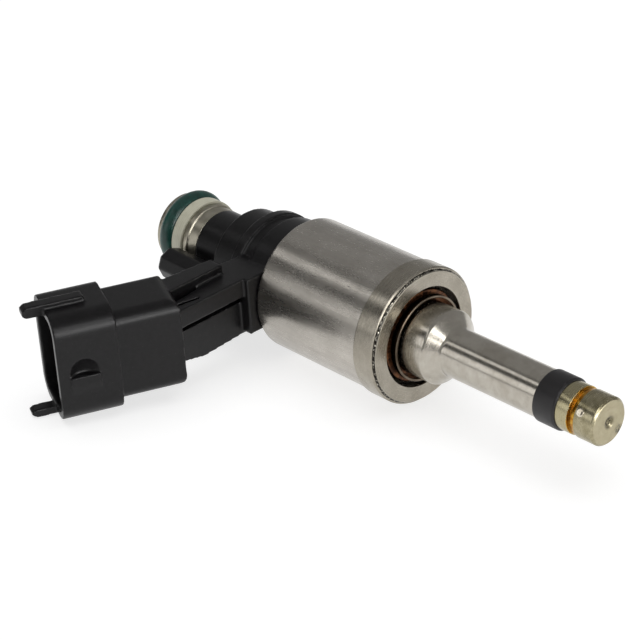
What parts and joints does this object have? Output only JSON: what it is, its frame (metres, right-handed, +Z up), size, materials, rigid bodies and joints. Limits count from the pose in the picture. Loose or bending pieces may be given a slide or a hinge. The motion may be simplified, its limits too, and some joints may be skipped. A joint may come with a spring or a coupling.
{
  "type": "fuel injector",
  "caption": "Solenoid fuel injector for direct injection: slim sealed nozzle, round steel housing, fuel inlet with O-ring and an angled electrical socket.",
  "frame": {"origin": "on the injector's axis, at the middle of the tip seal", "axes": "+X along the axis out of the nozzle, +Z up with the injector lying on its collar and its connector, the connector to -Y"},
  "size_m": [0.0878, 0.0546, 0.0217],
  "materials": {
    "nozzle_steel": "fine turned stainless steel, bright",
    "tip_steel": "heat-tinted stainless steel",
    "seal_black": "filled seal material, satin black",
    "inner_steel": "ground steel",
    "bobbin_plastic": "natural glass-filled plastic",
    "copper": "enamelled copper wire",
    "copper_washer": "soft copper alloy, dull",
    "collar_steel": "pressed steel, slightly warm",
    "housing_steel": "satin deep-drawn steel with fine marks",
    "inlet_steel": "satin stainless steel",
    "filter_plastic": "natural plastic",
    "oring_rubber": "dark green rubber, soft sheen",
    "backup_plastic": "cream low-friction plastic",
    "moulding_black": "glass-filled black plastic, fine grain",
    "terminal_metal": "tin-plated bronze"
  },
  "bodies": {
    "injector": {"valve_seat": "tip_steel", "valve_body": "nozzle_steel", "tip_seal": "seal_black", "needle_guide": "inner_steel", "closing_spring": "inner_steel", "adjusting_sleeve": "inner_steel", "pole_core": "inner_steel", "spacer_ring": "inner_steel", "coil_bobbin": "bobbin_plastic", "coil_winding": "copper", "flux_washer": "inner_steel", "support_ring": "nozzle_steel", "copper_washer": "copper_washer", "housing_collar": "collar_steel", "solenoid_housing": "housing_steel", "inlet_tube": "inlet_steel", "inlet_filter": "filter_plastic", "inlet_oring": "oring_rubber", "backup_ring": "backup_plastic", "overmould": "moulding_black", "terminal_upper": "terminal_metal", "terminal_lower": "terminal_metal"},
    "needle_group": {"needle": "inner_steel", "valve_ball": "inner_steel", "armature": "inner_steel", "stop_sleeve": "inner_steel"}
  },
  "joints": [
    {"name": "needle_lift", "type": "slide", "parent": "injector", "child": "needle_group", "axis": [-1, 0, 0], "range_m": [0, 0.00008], "stiffness_N_per_m": 500, "springref_m": -0.004, "deforming": ["closing_spring"]}
  ]
}
